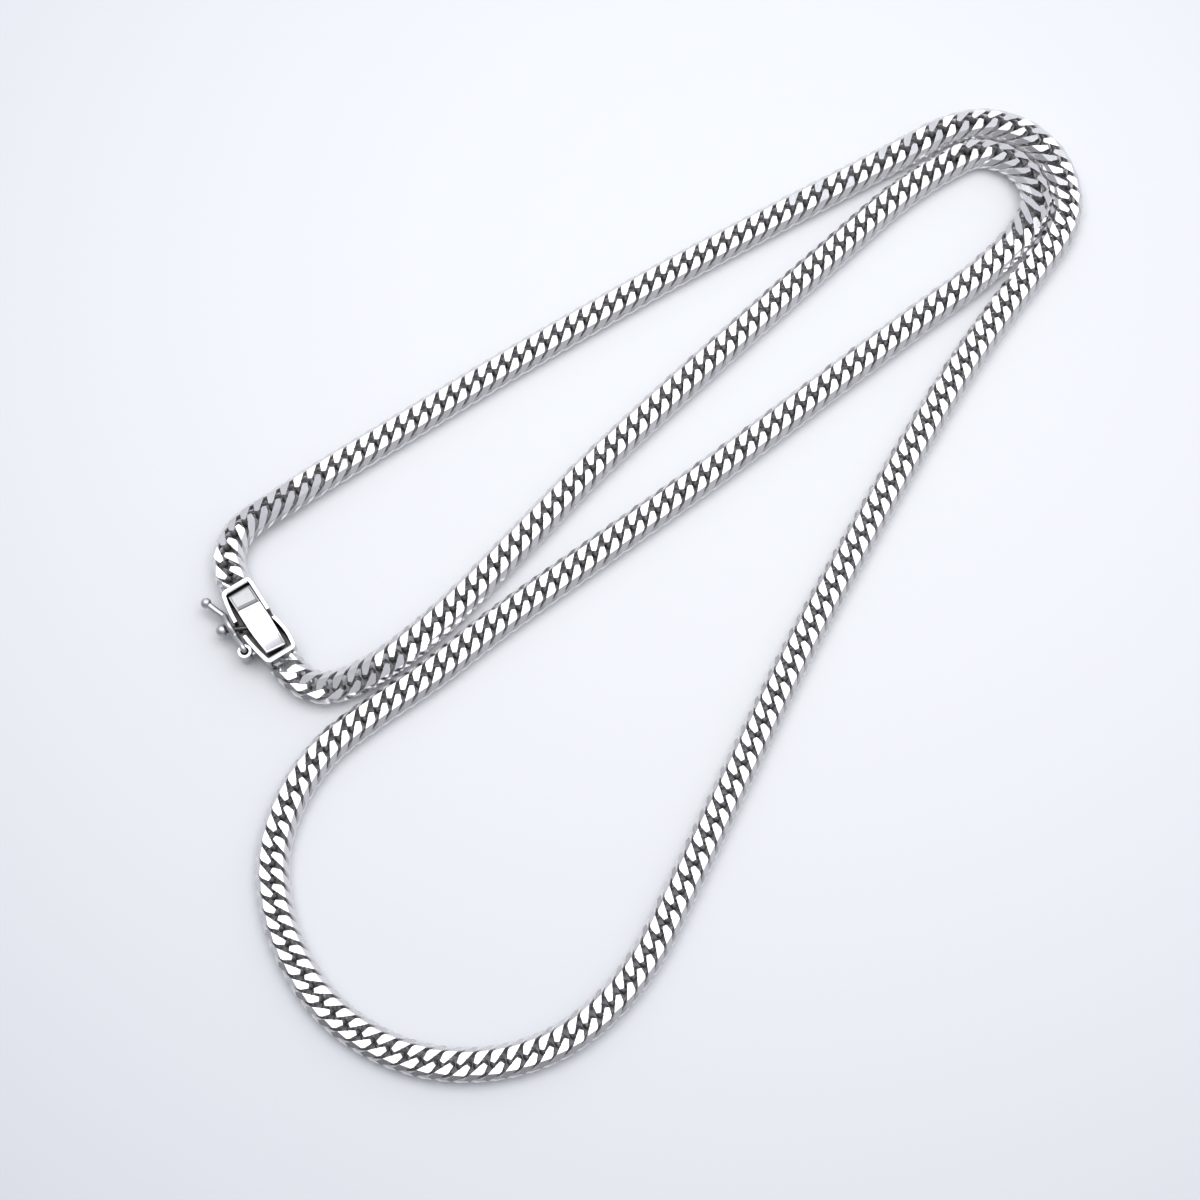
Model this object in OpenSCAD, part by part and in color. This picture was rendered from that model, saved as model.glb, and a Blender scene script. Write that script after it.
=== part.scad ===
// Flat curb chain necklace with a box clasp, laid out on a surface.
// The chain is one closed loop of its real length, folded into two nested turns
// and a round lower loop. Each half of it is a solid bar of the chain's outer form.
// Sizes are in millimetres, +Z is up and the surface is the plane z = 0.
// The origin is the middle of the clasp's flat underside.

/* [Chain] */
// Width of the chain from ridge to ridge
chain_w = 3.5; // [3.2:0.1:3.6]
// Thickness of the chain from flat to flat
chain_t = 1.85; // [1.6:0.05:1.95]
// Width of the ground flat on the top and on the underside
flat_w = 2.3; // [2:0.05:2.6]
// Height of the blunt edge along each side ridge
ridge_t = 0.7; // [0.2:0.05:0.8]

/* [Clasp box] */
// Length of the box without its end bracket
box_len = 9.5; // [9.3:0.1:9.7]
// Height of the box
box_h = 2.8; // [2.7:0.05:2.9]
// Wall thickness of the box
wall = 0.45; // [0.35:0.05:0.5]
// Thickness of the box floor
floor_t = 0.4; // [0.3:0.05:0.5]
// Reach of the bowed left wall from the middle line
left_bow = 2.4; // [2.3:0.05:2.45]
// Reach of the flatter right wall from the middle line
right_bow = 2; // [1.9:0.05:2.05]
// How far the walls lean in from mid height to the top and to the underside
wall_lean = 0.1; // [0.06:0.02:0.16]

/* [Tongue] */
// Width of the spring leaf
leaf_w = 2.2; // [2:0.05:2.2]
// Thickness of the spring leaf
leaf_t = 0.42; // [0.35:0.01:0.45]
// Diameter of the push button's ball
button_d = 1.1; // [1:0.05:1.15]
// Diameter of the neck that carries the ball
neck_d = 0.5; // [0.4:0.05:0.55]

/* [Safety lever] */
// Wire diameter of the lever
wire_d = 0.5; // [0.4:0.05:0.55]
// Diameter of the ball at the thumb end
thumb_d = 0.95; // [0.8:0.05:1]
// Outer diameter of the hinge tube
tube_d = 1.43; // [1.4:0.01:1.5]
// Diameter of the hinge pin
pin_d = 0.64; // [0.6:0.01:0.7]
// Radial clearance between the pin and the hinge tube
pin_clearance = 0.08; // [0.06:0.01:0.1]

/* [Hidden] */
metal = [0.84, 0.84, 0.86];
tiny = 0.01;

// Turn of the clasp's long axis from +X, towards the chain's upper end
clasp_turn = 123;

// Stops along the chain as [x, y, lift, roll]. Lift is the height above lying flat.
// Roll turns the chain about its own length, and is positive with its left side up.
// This half runs from the clasp over the outer turn and down the right-hand strand.
UPPER_ROUTE = [
    [-2.85, 4.4, 0.475, 0], [-3.5, 6.2, 0.475, -4], [-3.5, 8.3, 0.475, -8],
    [-2.6, 10.3, 0.45, -11], [-0.9, 12, 0.4, -12], [1.5, 13.7, 0.28, -11],
    [6, 16.9, 0.11, -5], [15, 22.9, 0, 0], [25, 29.5, 0, 0], [35, 35.8, 0, 0],
    [45, 41.9, 0, 0], [55, 47.7, 0, 0], [64, 52.8, 0, 0], [71, 56.8, 0, 0],
    [75, 59, 0, 0], [79.5, 60, 0, 0], [83.4, 58.9, 0, 0], [86.2, 56.4, 0, 0],
    [87.8, 53, 0, 0], [88.1, 49.5, 0, 0], [87.1, 46.2, 0, 0], [84.5, 42.3, 0, 0],
    [80.5, 37, 0, 0], [75.5, 29.9, 0, 0], [69.5, 20.1, 0, 0], [63, 8.8, 0, 0],
    [57, -2.1, 0, 0], [50.5, -15.2, 0, 0], [44, -28.5, 0, 0]
];
// This half runs round the lower loop and the inner turn, back to the clasp.
LOWER_ROUTE = [
    [44, -28.5, 0, 0], [40.5, -35.2, 0, 0], [36.5, -40.2, 0, 0], [31.5, -43.9, 0, 0],
    [25.5, -45.8, 0, 0], [19.5, -45.8, 0, 0], [14, -44.1, 0, 0], [9, -40.7, 0, 0],
    [5.4, -36, 0, 0], [3.1, -30.5, 0, 0], [2.5, -24.5, 0, 0], [4.1, -18.7, 0, 0],
    [7.4, -13.7, 0, 0], [12, -9.8, 0, 0], [18, -5.5, 0, 0], [25, 0.2, 0, 0],
    [36, 8.5, 0, 0], [49, 18.3, 0, 0], [62, 28.6, 0, 0], [71.5, 36, 0, 0],
    [77.5, 40.6, 0, 0], [81, 43.9, 0.13, 6], [83.3, 46.8, 0.34, 18],
    [84.6, 49.7, 0.37, 20], [84, 52.7, 0.28, 14], [81.9, 55.1, 0.13, 6],
    [78.4, 56.1, 0, 0], [75, 54.6, 0, 0], [69.5, 50.8, 0, 0], [61, 43, 0, 0],
    [52, 34.5, 0, 0], [43, 25.9, 0, 0], [35, 17.9, 0, 0], [27, 9.1, 0, 0],
    [21, 2.6, 0.05, -2], [16.5, -1.7, 0.2, -9], [12.8, -4.6, 0.35, -18],
    [9.5, -6.4, 0.42, -22], [7, -7, 0.45, -14], [4.8, -6.3, 0.475, -4],
    [2.85, -4.4, 0.475, 0]
];

// Places on the clasp, measured along it and to its left from its middle
box_half = box_len / 2;
corner_r = 0.6;
end_half = 2;
left_r = 17;
left_apex = 0.35;
right_r = 70;
right_apex = -2.5;
mid_h = box_h / 2;
cavity_lo = -4.3;
cavity_hi = 4.35;
left_notch = [-0.75, 1.12];
left_cut = 0.9;
right_notch = [-0.55, 0.55];
right_cut = 0.55;
notch_z = 1.1;
slot_half = 1.3;
slot_z = [floor_t, 2.05];
slot_len = 3 * wall;
bracket_len = 0.4;
bracket_h = 1.9;
bracket_root = 1.45;
bracket_tip = 1.1;

// Spring leaf
leaf_v = [-1, -1 + leaf_w];
lower_leaf_z = 0.55;
upper_leaf_z = 2.05;
leaf_tip = 3.3;
leaf_tail = -3.75;
step_u = 2;
step_drop = 0.12;
head_len = 0.35;
head_gap = 0.1;

// Push button, with the ends of its neck
button_at = [1.35, 3.75, 1.55];
neck_root = [0.05, 0.9, 2.2];

// Hinge and safety lever
hinge_at = [-2.1, 2.94];
lever_z = button_at[2];
tube_h = 1.6;
web_w = 0.8;
arm_gap = 0.06;
pin_over = 0.1;
lever_t = 0.44;
lever_in = 0.02;

// Side view of the lever, measured along the clasp and up from the lever's middle
fork_grip = 0.08;
fork_bend = -1.1;
fork_back = 0.15;
overcut = 1;
near_knot = 0.1;
knot_web = 0.25;
knot_half = 0.42;
eye_near = 0.48;
eye_far = 2.1;
eye_in = 0.65;
eye_out = 1.12;
eye_back = 0.15;
far_knot = 2.75;
far_web = 0.4;
stem_half = 0.32;
stem_root = [2.6, 2.86, lever_z];
thumb_at = [4.9, 3.56, lever_z];

// Outline of the chain's section as [right, up] from its middle
SECTION = [
    [chain_w / 2, -ridge_t / 2], [chain_w / 2, ridge_t / 2],
    [flat_w / 2, chain_t / 2], [-flat_w / 2, chain_t / 2],
    [-chain_w / 2, ridge_t / 2], [-chain_w / 2, -ridge_t / 2],
    [-flat_w / 2, -chain_t / 2], [flat_w / 2, -chain_t / 2]
];

function place(stop) = [stop[0], stop[1], chain_t / 2 + stop[2]];
function unit(v) = v / norm(v);
function heading(route, i) =
    unit(place(route[min(i + 1, len(route) - 1)]) - place(route[max(i - 1, 0)]));

// One ring of the bar: the section set square to the heading and rolled
function ring(stop, dir) =
    let (right = unit(cross(dir, [0, 0, 1])), up = cross(right, dir), roll = stop[3])
    [for (p = SECTION)
        place(stop)
        + right * (p[0] * cos(roll) + p[1] * sin(roll))
        + up * (p[1] * cos(roll) - p[0] * sin(roll))];

// A closed bar swept along a route, with its end rings square to the given headings
module chain_bar(route, first_dir, last_dir) {
    last = len(route) - 1;
    k = len(SECTION);
    rings = [for (i = [0:last])
        ring(route[i], i == 0 ? first_dir : i == last ? last_dir : heading(route, i))];
    points = [for (r = rings) for (p = r) p];
    sides = [for (i = [0:last - 1]) for (j = [0:k - 1])
        let (a = i * k + j, b = i * k + (j + 1) % k, c = b + k, d = a + k)
        for (face = [[a, b, c], [a, c, d]]) face];
    start_cap = [for (j = [k - 1:-1:0]) j];
    end_cap = [for (j = [0:k - 1]) last * k + j];
    polyhedron(points, concat(sides, [start_cap], [end_cap]), convexity = 10);
}

clasp_dir = [cos(clasp_turn), sin(clasp_turn), 0];
join_dir = unit(place(LOWER_ROUTE[1]) - place(UPPER_ROUTE[len(UPPER_ROUTE) - 2]));

module chain_upper() {
    color(metal) chain_bar(UPPER_ROUTE, clasp_dir, join_dir);
}

module chain_lower() {
    color(metal) chain_bar(LOWER_ROUTE, join_dir, clasp_dir);
}

// Sets what is drawn along +X into the clasp's place
module on_clasp() {
    rotate([0, 0, clasp_turn]) children();
}

// A disc whose rim leans in above and below mid height by the walls' lean
module leaning_disc(r) {
    cylinder(h = mid_h, r1 = r - wall_lean, r2 = r, $fn = 240);
    translate([0, 0, mid_h]) cylinder(h = mid_h, r1 = r, r2 = r - wall_lean, $fn = 240);
}

// A rectangle with rounded corners, centred
module round_end_plan(len, width, r) {
    square([len - 2 * r, width], center = true);
    square([len, width - 2 * r], center = true);
    for (x = [-1, 1], y = [-1, 1])
        translate([x * (len / 2 - r), y * (width / 2 - r)]) circle(r = r, $fn = 48);
}

// Outside form of the box, narrowed to its two ends by the bowed walls
module box_form() {
    intersection() {
        translate([left_apex, left_bow - left_r, 0]) leaning_disc(left_r);
        translate([right_apex, right_r - right_bow, 0]) leaning_disc(right_r);
        linear_extrude(box_h) plan_of_box();
    }
}

// Left wide open to the bowed walls along the sides, with round corners at the two ends
module plan_of_box() {
    plan_w = 2 * (left_bow + right_bow);
    square([box_len - 2 * corner_r, plan_w], center = true);
    round_end_plan(box_len, 2 * end_half, corner_r);
}

module cavity_form() {
    cavity_len = cavity_hi - cavity_lo;
    intersection() {
        translate([left_apex, left_bow - left_r, floor_t])
            cylinder(h = box_h, r = left_r - wall, $fn = 240);
        translate([right_apex, right_r - right_bow, floor_t])
            cylinder(h = box_h, r = right_r - wall, $fn = 240);
        translate([cavity_lo, -left_bow, floor_t]) cube([cavity_len, 2 * left_bow, box_h]);
    }
}

// A wedge soldered to an end wall, narrowing towards the chain
module end_bracket(length) {
    translate([0, 0, mid_h - bracket_h / 2])
        linear_extrude(bracket_h)
            polygon([[-wall / 2, -bracket_root], [length, -bracket_tip],
                [length, bracket_tip], [-wall / 2, bracket_root]]);
}

module clasp_box() {
    color(metal) on_clasp() {
        difference() {
            union() {
                box_form();
                translate([box_half, 0, 0]) end_bracket(bracket_len);
            }
            cavity_form();
            // Notch for the button's neck, then a finger notch across from it
            translate([left_notch[0], left_bow - left_cut, notch_z])
                cube([left_notch[1] - left_notch[0], left_cut + wall, box_h]);
            translate([right_notch[0], -right_bow - wall, notch_z])
                cube([right_notch[1] - right_notch[0], wall + right_cut, box_h]);
            // Slot in the lower end wall for the tongue
            translate([-box_half - wall, -slot_half, slot_z[0]])
                cube([slot_len, 2 * slot_half, slot_z[1] - slot_z[0]]);
        }
        hinge_tube();
    }
}

// Tube on the left wall, with the solder web that carries it
module hinge_tube() {
    tube_low = lever_z - tube_h / 2;
    difference() {
        union() {
            translate([hinge_at[0], hinge_at[1], tube_low]) cylinder(h = tube_h, d = tube_d, $fn = 64);
            translate([hinge_at[0] - web_w / 2, left_bow - wall, tube_low])
                cube([web_w, hinge_at[1] - left_bow + wall, tube_h]);
        }
        translate([hinge_at[0], hinge_at[1], 0])
            cylinder(h = box_h, d = pin_d + 2 * pin_clearance, $fn = 64);
    }
}

// Side view of the folded spring leaf as [along, up]: two leaves joined by a bend
module leaf_side() {
    bend_r = (upper_leaf_z + leaf_t - lower_leaf_z) / 2;
    step_top = upper_leaf_z + leaf_t - step_drop;
    translate([-box_half, lower_leaf_z]) square([leaf_tip + box_half, leaf_t]);
    translate([leaf_tail, upper_leaf_z]) square([step_u - leaf_tail, leaf_t]);
    translate([step_u - tiny, upper_leaf_z]) square([leaf_tip - step_u + tiny, step_top - upper_leaf_z]);
    translate([leaf_tip, lower_leaf_z + bend_r]) difference() {
        circle(r = bend_r, $fn = 64);
        circle(r = bend_r - leaf_t, $fn = 64);
        translate([-bend_r, -bend_r]) square([bend_r, 2 * bend_r]);
        translate([-tiny, bend_r - step_drop]) square([bend_r, step_drop + tiny]);
    }
}

// Plug that fills the slot, and the head outside it that the chain is soldered to
module tongue_head() {
    plug_len = wall + 2 * head_gap;
    plug_z = slot_z[0] + head_gap;
    translate([-box_half - head_gap, -slot_half + head_gap, plug_z])
        cube([plug_len, 2 * (slot_half - head_gap), slot_z[1] - slot_z[0] - 2 * head_gap]);
    translate([-box_half - head_gap - wall / 2, 0, 0]) mirror([1, 0, 0]) end_bracket(head_len - wall / 2);
}

// Straight round wire from one point to another
module wire(from, to, d) {
    run = to - from;
    translate(from) rotate([0, acos(run[2] / norm(run)), atan2(run[1], run[0])])
        cylinder(h = norm(run), d = d, $fn = 32);
}

module clasp_tongue() {
    color(metal) on_clasp() {
        translate([0, leaf_v[1], 0]) rotate([90, 0, 0]) linear_extrude(leaf_w) leaf_side();
        tongue_head();
        wire(neck_root, button_at, neck_d);
        translate(button_at) sphere(d = button_d, $fn = 48);
    }
}

// Side view of the lever as [along, up from its middle]: a fork round the hinge tube,
// a narrow knot and the eye that snaps over the push button
module lever_side() {
    fork_end = hinge_at[0] - pin_d / 2 - fork_grip;
    fork_in = tube_h / 2 + arm_gap;
    fork_out = fork_in + wire_d;
    difference() {
        polygon([
            [fork_end, fork_out], [fork_bend, fork_out], [near_knot, knot_half],
            [eye_near, eye_out], [eye_far, eye_out], [far_knot, stem_half],
            [far_knot, -stem_half], [eye_far, -eye_out], [eye_near, -eye_out],
            [near_knot, -knot_half], [fork_bend, -fork_out], [fork_end, -fork_out]]);
        polygon([
            [fork_end - overcut, fork_in], [fork_bend - fork_back, fork_in],
            [near_knot - knot_web, 0],
            [fork_bend - fork_back, -fork_in], [fork_end - overcut, -fork_in]]);
        polygon([
            [near_knot + knot_web, 0], [eye_near + knot_web, eye_in],
            [eye_far - eye_back, eye_in], [far_knot - far_web, 0],
            [eye_far - eye_back, -eye_in], [eye_near + knot_web, -eye_in]]);
    }
}

module safety_lever() {
    pin_len = tube_h + 2 * (arm_gap + wire_d + pin_over);
    color(metal) on_clasp() {
        translate([0, hinge_at[1] + lever_t / 2 - lever_in, lever_z])
            rotate([90, 0, 0]) linear_extrude(lever_t) lever_side();
        translate([hinge_at[0], hinge_at[1], lever_z - pin_len / 2])
            cylinder(h = pin_len, d = pin_d, $fn = 48);
        wire(stem_root, thumb_at, wire_d);
        translate(thumb_at) sphere(d = thumb_d, $fn = 48);
    }
}

chain_upper();
chain_lower();
clasp_box();
clasp_tongue();
safety_lever();
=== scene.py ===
"""Looks of a flat curb chain necklace with a box clasp, lying on a pale surface."""

import logging
import math
from collections.abc import Callable, Sequence
from dataclasses import dataclass, field, replace
from enum import Enum
from typing import Any

import bpy
from mathutils import Matrix, Vector

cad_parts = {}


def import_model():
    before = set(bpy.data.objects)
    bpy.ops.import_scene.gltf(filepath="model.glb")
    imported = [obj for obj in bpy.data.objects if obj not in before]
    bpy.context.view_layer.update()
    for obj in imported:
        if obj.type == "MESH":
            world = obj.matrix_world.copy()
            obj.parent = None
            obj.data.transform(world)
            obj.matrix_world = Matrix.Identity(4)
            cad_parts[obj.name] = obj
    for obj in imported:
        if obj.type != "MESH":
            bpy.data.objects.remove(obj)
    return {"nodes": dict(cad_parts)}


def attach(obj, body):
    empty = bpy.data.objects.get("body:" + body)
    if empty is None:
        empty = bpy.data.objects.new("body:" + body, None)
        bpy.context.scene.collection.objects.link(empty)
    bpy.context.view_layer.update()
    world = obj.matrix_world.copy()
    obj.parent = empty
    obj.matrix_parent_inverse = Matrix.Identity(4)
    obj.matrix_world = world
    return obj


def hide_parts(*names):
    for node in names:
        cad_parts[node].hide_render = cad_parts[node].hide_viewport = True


LOG = logging.getLogger("curb_chain")

# Metres in a millimetre, in which the pieces are modelled
MM = 0.001
# Millimetres within which two places are taken as the same, and points are welded or cut as one
NEAR = 1e-3
WELD_GAP = 1e-4
CUT_GAP = 1e-5

Pair = tuple[float, float]
Spot = tuple[float, float, float]
Stop = Pair | tuple[float, float, float, float]
Block = tuple[Pair, Pair, Pair]
Piece = bpy.types.Object


class Slot(Enum):
    """The record's material slots."""

    CHAIN = "chain_metal"
    CLASP = "clasp_metal"


class Body(Enum):
    """The bodies that the pieces ride on."""

    NECKLACE = "necklace"
    LEVER = "lever"


class Merge(Enum):
    """What is done with a second form: cut out of the first, or fused on."""

    CUT = "DIFFERENCE"
    FUSE = "UNION"


class MeshPart(Enum):
    """Parts of a mesh that are selected, each with the name of its list."""

    FACE = "polygons"
    EDGE = "edges"
    VERT = "vertices"


# Shader maths


@dataclass(frozen=True)
class Signal:
    """A node's output that can stand in sums and products. The last node has no socket."""

    sheet: "ShaderSheet"
    socket: bpy.types.NodeSocket | None

    def _maths(self, operation: str, first: Any, second: Any) -> "Signal":
        """Adds one Math node for two values."""
        return self.sheet.node("ShaderNodeMath", {"operation": operation}, {0: first, 1: second})

    def __add__(self, other: Any) -> "Signal":
        """This plus the other."""
        return self._maths("ADD", self, other)

    __radd__ = __add__

    def __sub__(self, other: Any) -> "Signal":
        """This less the other."""
        return self._maths("SUBTRACT", self, other)

    def __rsub__(self, other: Any) -> "Signal":
        """The other less this."""
        return self._maths("SUBTRACT", other, self)

    def __mul__(self, other: Any) -> "Signal":
        """This times the other."""
        return self._maths("MULTIPLY", self, other)

    def __pow__(self, other: Any) -> "Signal":
        """This to the power of the other."""
        return self._maths("POWER", self, other)


class ShaderSheet:
    """The node tree of a material or of the room, filled node by node.

    Args:
        owner: What the tree belongs to.
    """

    def __init__(self, owner: bpy.types.Material | bpy.types.World) -> None:
        """Gives the owner an empty tree."""
        owner.use_nodes = True
        self.owner = owner
        self.tree = owner.node_tree
        self.tree.nodes.clear()

    def node(
        self,
        kind: str,
        settings: dict[str, Any] | None = None,
        inputs: dict[str | int, Any] | None = None,
        output: str | int = 0,
    ) -> Signal:
        """Adds a node, sets it up and joins its sockets.

        Args:
            kind: The node's type.
            settings: Its own settings, set first.
            inputs: Values or signals of its sockets, by name or number.
            output: The socket that is handed back.

        Returns:
            The chosen output as a signal.
        """
        made = self.tree.nodes.new(kind)
        for key, value in (settings or {}).items():
            setattr(made, key, value)
        for key, value in (inputs or {}).items():
            if isinstance(value, Signal):
                self.tree.links.new(value.socket, made.inputs[key])
            else:
                made.inputs[key].default_value = value
        return Signal(self, made.outputs[output] if made.outputs else None)

    def place(self) -> Signal:
        """The place on the piece, in metres."""
        return self.node("ShaderNodeTexCoord", output="Object")

    def mesh_value(self, name: str) -> Signal:
        """A value that the mesh stores at its points or corners."""
        return self.node("ShaderNodeAttribute", {"attribute_name": name}, output="Fac")

    def noise(self, scale: float, detail: float, stretch: Spot = (1, 1, 1)) -> Signal:
        """Cloudy noise over the piece.

        Args:
            scale: How many waves go in a metre.
            detail: How many finer layers it has.
            stretch: Scale along each axis.

        Returns:
            A signal around one half.
        """
        spot = self.node("ShaderNodeMapping", None, {"Vector": self.place(), "Scale": stretch})
        return self.node("ShaderNodeTexNoise", None, {"Vector": spot, "Scale": scale, "Detail": detail})

    def blend(self, factor: Signal, first: Any, second: Any) -> Signal:
        """Mixes two colours.

        Args:
            factor: 0 gives the first colour and 1 the second.
            first: First colour, or a signal of it.
            second: Second colour, or a signal of it.

        Returns:
            The mixed colour.
        """
        ends = [c if isinstance(c, Signal) else (*c, 1.0) for c in (first, second)]
        return self.node(
            "ShaderNodeMix", {"data_type": "RGBA"}, {0: factor, 6: ends[0], 7: ends[1]}, output=2
        )

    def clamp(self, value: Signal) -> Signal:
        """Keeps a signal between 0 and 1."""
        return self.node("ShaderNodeClamp", None, {"Value": value, "Min": 0.0, "Max": 1.0})

    def bump(self, height: Signal, depth: float, strength: float) -> Signal:
        """Turns a signal into low bumps of a depth in millimetres."""
        inputs = {"Strength": strength, "Distance": depth * MM, "Height": height}
        return self.node("ShaderNodeBump", None, inputs)

    def finish(self, inputs: dict[str, Any]) -> bpy.types.Material:
        """Ends a material's sheet with the surface shader.

        Args:
            inputs: Sockets of the surface shader.

        Returns:
            The finished material.
        """
        surface = self.node("ShaderNodeBsdfPrincipled", None, inputs)
        self.node("ShaderNodeOutputMaterial", None, {"Surface": surface})
        return self.owner


@dataclass(frozen=True)
class GroundMetal:
    """Flat ground and polished metal, with faint waves and hairline marks.

    What looks up has clouds of colour and shade. The rest has a painted side tone, a share of the
    shade: painted shade where the share is below one, painted light where it is above.
    """

    name: str
    colour: Spot
    shade: Spot
    painted_side_share: float = 1.0
    roughness: float = 0.16
    marks: float = 0.12
    waves: float = 900.0
    wave_gain: float = 1.6
    hairs: float = 9000.0
    hair_stretch: Spot = (1.0, 0.12, 1.0)
    hair_height: float = 0.3
    bump_depth: float = 0.02
    bump_strength: float = 0.25
    level_rise: float = 0.92
    level_fade: float = 2.5

    def make(self) -> bpy.types.Material:
        """Builds the material.

        Returns:
            The material.
        """
        sheet = ShaderSheet(bpy.data.materials.new(self.name))
        cloud = sheet.noise(self.waves, 3.0)
        hair = sheet.noise(self.hairs, 2.0, self.hair_stretch)
        clear = sheet.clamp((cloud - 0.5) * self.wave_gain + 0.5)
        level = sheet.blend(clear, self.shade, self.colour)
        # Painted light and shade: faces that do not look up take a side tone, a share of the shade,
        # that stands in for how they catch the light.
        side = tuple(c * self.painted_side_share for c in self.shade)
        painted_side_mask = sheet.clamp((self.level_rise - sheet.mesh_value("rise")) * self.level_fade)
        height = cloud + hair * self.hair_height
        return sheet.finish(
            {
                "Base Color": sheet.blend(painted_side_mask, level, side),
                "Metallic": 1.0,
                "Roughness": sheet.clamp(self.roughness + (hair - 0.5) * self.marks),
                "Normal": sheet.bump(height, self.bump_depth, self.bump_strength),
            }
        )


@dataclass(frozen=True)
class PaintedShadeWireMetal:
    """Round wire between the ground facets, its colour painted from a light tone at the rim to shade
    that grows darker the deeper it lies.
    """

    name: str
    rim: Spot
    painted_deep_shade: Spot
    roughness: float = 0.34
    deep_roughness: float = 0.14
    depth_power: float = 1.6
    waves: float = 1400.0
    wave_gain: float = 0.35
    bump_depth: float = 0.02
    bump_strength: float = 0.2

    def make(self) -> bpy.types.Material:
        """Builds the material.

        Returns:
            The material.
        """
        sheet = ShaderSheet(bpy.data.materials.new(self.name))
        cloud = sheet.noise(self.waves, 3.0)
        # Painted shade: the depth of the recess blends the colour from the light rim tone to the dark
        # shade.
        depth = sheet.mesh_value("recess") ** self.depth_power
        dark = sheet.clamp(depth + (cloud - 0.5) * self.wave_gain)
        return sheet.finish(
            {
                "Base Color": sheet.blend(dark, self.rim, self.painted_deep_shade),
                "Metallic": 1.0,
                "Roughness": sheet.clamp(self.roughness + dark * self.deep_roughness),
                "Normal": sheet.bump(cloud, self.bump_depth, self.bump_strength),
            }
        )


@dataclass(frozen=True)
class PaleCard:
    """Matt pale surface that the necklace lies on, with a painted pool of light: brightest at one
    place, fading to painted shade further out.
    """

    name: str
    colour: Spot
    shade: Spot
    roughness: float = 0.7
    painted_light_at: Spot = (0.016, 0.028, 0.0)
    fade: float = 0.145

    def make(self) -> bpy.types.Material:
        """Builds the material.

        Returns:
            The material.
        """
        sheet = ShaderSheet(bpy.data.materials.new(self.name))
        away = sheet.node(
            "ShaderNodeVectorMath",
            {"operation": "DISTANCE"},
            {0: sheet.place(), 1: self.painted_light_at},
            output="Value",
        )
        # Painted light falloff: the colour fades from the bright spot to the painted shade with
        # distance.
        far = sheet.clamp((away * (1 / self.fade)) ** 2)
        surface = sheet.blend(far, self.colour, self.shade)
        return sheet.finish({"Base Color": surface, "Roughness": self.roughness})


# Chain facets: faces that do not look up, mostly the bevels, get a lighter painted tone that stands in
# for reflected light.
FACET = GroundMetal("ground_facets", (0.68, 0.672, 0.69), (0.62, 0.612, 0.632), painted_side_share=1.38)
# Link wire: a light painted tone at the rim of each recess, and dark painted shade lower down in it.
WIRE = PaintedShadeWireMetal("link_wire", (0.86, 0.845, 0.85), (0.14, 0.13, 0.125))
# Clasp metals: faces that do not look up, such as walls and the sides of wires and balls, are darkened
# with painted shade.
CLASP_METAL = GroundMetal(
    "clasp_polish", (0.68, 0.68, 0.70), (0.62, 0.62, 0.64), painted_side_share=0.72, roughness=0.2, waves=500.0
)
LEVER_METAL = replace(CLASP_METAL, name="lever_wire", painted_side_share=0.66, roughness=0.32)
LEAF_METAL = replace(CLASP_METAL, name="leaf_polish", roughness=0.33)
SATIN_LEAF = GroundMetal(
    "satin_leaf", (0.51, 0.51, 0.515), (0.47, 0.47, 0.475), roughness=0.5, waves=500.0
)
# Painted shade: a near-black colour for the faces in shade inside the box, under the tongue and on the
# button's neck.
CLASP_PAINTED_SHADE = GroundMetal("clasp_inside", (0.16, 0.15, 0.15), (0.10, 0.09, 0.09), roughness=0.4)
# Floor: a pale colour with a painted pool of light that fades to a bluer painted shade.
CARD = PaleCard("pale_card", (0.818, 0.827, 0.841), (0.573, 0.585, 0.63))


# Modelling helpers


def leave_edit() -> None:
    """Leaves edit mode."""
    bpy.ops.object.mode_set(mode="OBJECT")


def edit_all() -> None:
    """Selects the whole active mesh in edit mode."""
    bpy.ops.object.mode_set(mode="EDIT")
    bpy.ops.mesh.select_all(action="SELECT")


def settle() -> Piece:
    """Applies a new piece's place, turn and scale, and hands it back."""
    bpy.ops.object.transform_apply(location=True, rotation=True, scale=True)
    return bpy.context.object


def start_clean() -> None:
    """Leaves edit mode and deselects everything."""
    if bpy.context.object and bpy.context.object.mode != "OBJECT":
        leave_edit()
    bpy.ops.object.select_all(action="DESELECT")


def put_in_scene(name: str, data: bpy.types.ID) -> Piece:
    """Puts a mesh, a lamp or a camera in the scene under a name."""
    thing = bpy.data.objects.new(name, data)
    bpy.context.scene.collection.objects.link(thing)
    return thing


def make_active(piece: Piece) -> None:
    """Selects one piece alone."""
    start_clean()
    piece.select_set(True)
    bpy.context.view_layer.objects.active = piece


def select_parts(piece: Piece, part: MeshPart, wanted: Callable[[Any], bool]) -> None:
    """Selects a mesh's wanted faces, edges or points.

    Args:
        piece: The piece, which is in edit mode on return.
        part: Which of its parts are gone through.
        wanted: Takes one of them, and says if it is wanted.
    """
    bpy.context.view_layer.objects.active = piece
    bpy.ops.object.mode_set(mode="EDIT")
    bpy.ops.mesh.select_mode(type=part.name)
    bpy.ops.mesh.select_all(action="DESELECT")
    leave_edit()
    for item in getattr(piece.data, part.value):
        item.select = wanted(item)
    bpy.ops.object.mode_set(mode="EDIT")


def select_faces(piece: Piece, wanted: Callable[[Vector, Vector], bool]) -> None:
    """Selects faces by their middle and normal, and stays in edit mode."""
    select_parts(piece, MeshPart.FACE, lambda face: wanted(face.center, face.normal))


def select_points(piece: Piece, wanted: Callable[[Vector], bool]) -> None:
    """Selects points by their place, and stays in edit mode."""
    select_parts(piece, MeshPart.VERT, lambda point: wanted(point.co))


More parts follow.
